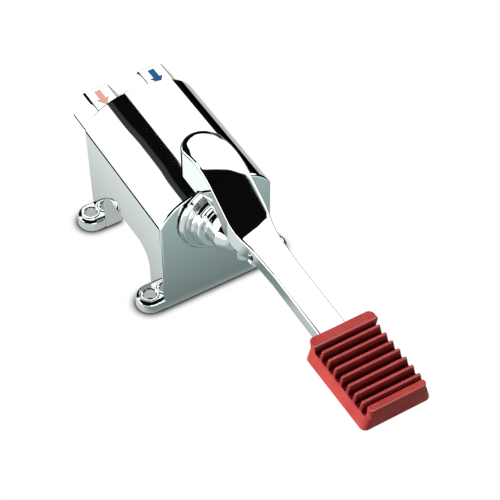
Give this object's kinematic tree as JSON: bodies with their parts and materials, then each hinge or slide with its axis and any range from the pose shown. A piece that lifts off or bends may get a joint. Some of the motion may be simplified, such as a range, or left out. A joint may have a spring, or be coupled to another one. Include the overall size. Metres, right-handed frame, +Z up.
{
  "type": "foot pedal tap valve",
  "caption": "Floor valve with an arched chrome body, hexagonal hot and cold inlets at the rear and a hooded pedal lever with a ribbed red rubber pad.",
  "frame": {"origin": "centre of the four floor holes, on the floor", "axes": "+X from the inlets to the pedal, +Y to the cold inlet's side, +Z up"},
  "size_m": [0.252, 0.0856, 0.0941],
  "materials": {
    "chrome": "mirror chrome plate on brass",
    "brass": "turned",
    "steel": "turned stainless steel",
    "seal": "matt",
    "pad_rubber": "moulded red rubber, satin",
    "hot_enamel": "enamel",
    "cold_enamel": "enamel"
  },
  "bodies": {
    "valve": {"valve_body": "chrome", "front_rose": "chrome", "bonnet": "chrome", "bonnet_gasket": "seal", "stem_bush": "steel", "stem_seals": "seal", "valve_seat": "brass", "return_spring": "steel", "hot_inlet": "chrome", "hot_inlet_seal": "seal", "hot_strainer": "steel", "hot_check_cage": "brass", "hot_check_spring": "steel", "hot_arrow": "hot_enamel", "cold_inlet": "chrome", "cold_inlet_seal": "seal", "cold_strainer": "steel", "cold_check_cage": "brass", "cold_check_spring": "steel", "cold_arrow": "cold_enamel", "outlet_union": "chrome", "outlet_seal": "seal"},
    "pedal": {"pedal_lever": "chrome", "pivot_pin": "chrome", "push_screw": "steel", "lock_nut": "steel", "pedal_pad": "pad_rubber"},
    "plunger": {"plunger": "steel", "disc_holder": "brass", "valve_disc": "seal", "disc_nut": "brass"},
    "hot_check": {"hot_check_poppet": "brass"},
    "cold_check": {"cold_check_poppet": "brass"}
  },
  "joints": [
    {"name": "pedal_hinge", "type": "hinge", "parent": "valve", "child": "pedal", "pos_m": [0.086, 0, 0.0715], "axis": [0, 1, 0], "range_deg": [0, 14], "stiffness_Nm_per_rad": 6, "springref_deg": -11.46},
    {"name": "plunger_slide", "type": "slide", "parent": "valve", "child": "plunger", "axis": [-1, 0, 0], "range_m": [0, 0.0032], "deforming": ["return_spring"]},
    {"name": "hot_check_slide", "type": "slide", "parent": "valve", "child": "hot_check", "axis": [1, 0, 0], "range_m": [0, 0.0025], "stiffness_N_per_m": 200, "springref_m": -0.002, "deforming": ["hot_check_spring"]},
    {"name": "cold_check_slide", "type": "slide", "parent": "valve", "child": "cold_check", "axis": [1, 0, 0], "range_m": [0, 0.0025], "stiffness_N_per_m": 200, "springref_m": -0.002, "deforming": ["cold_check_spring"]}
  ],
  "couplings": [
    {"joint": "plunger_slide", "follows": "pedal_hinge", "m_per_rad": 0.01265}
  ]
}
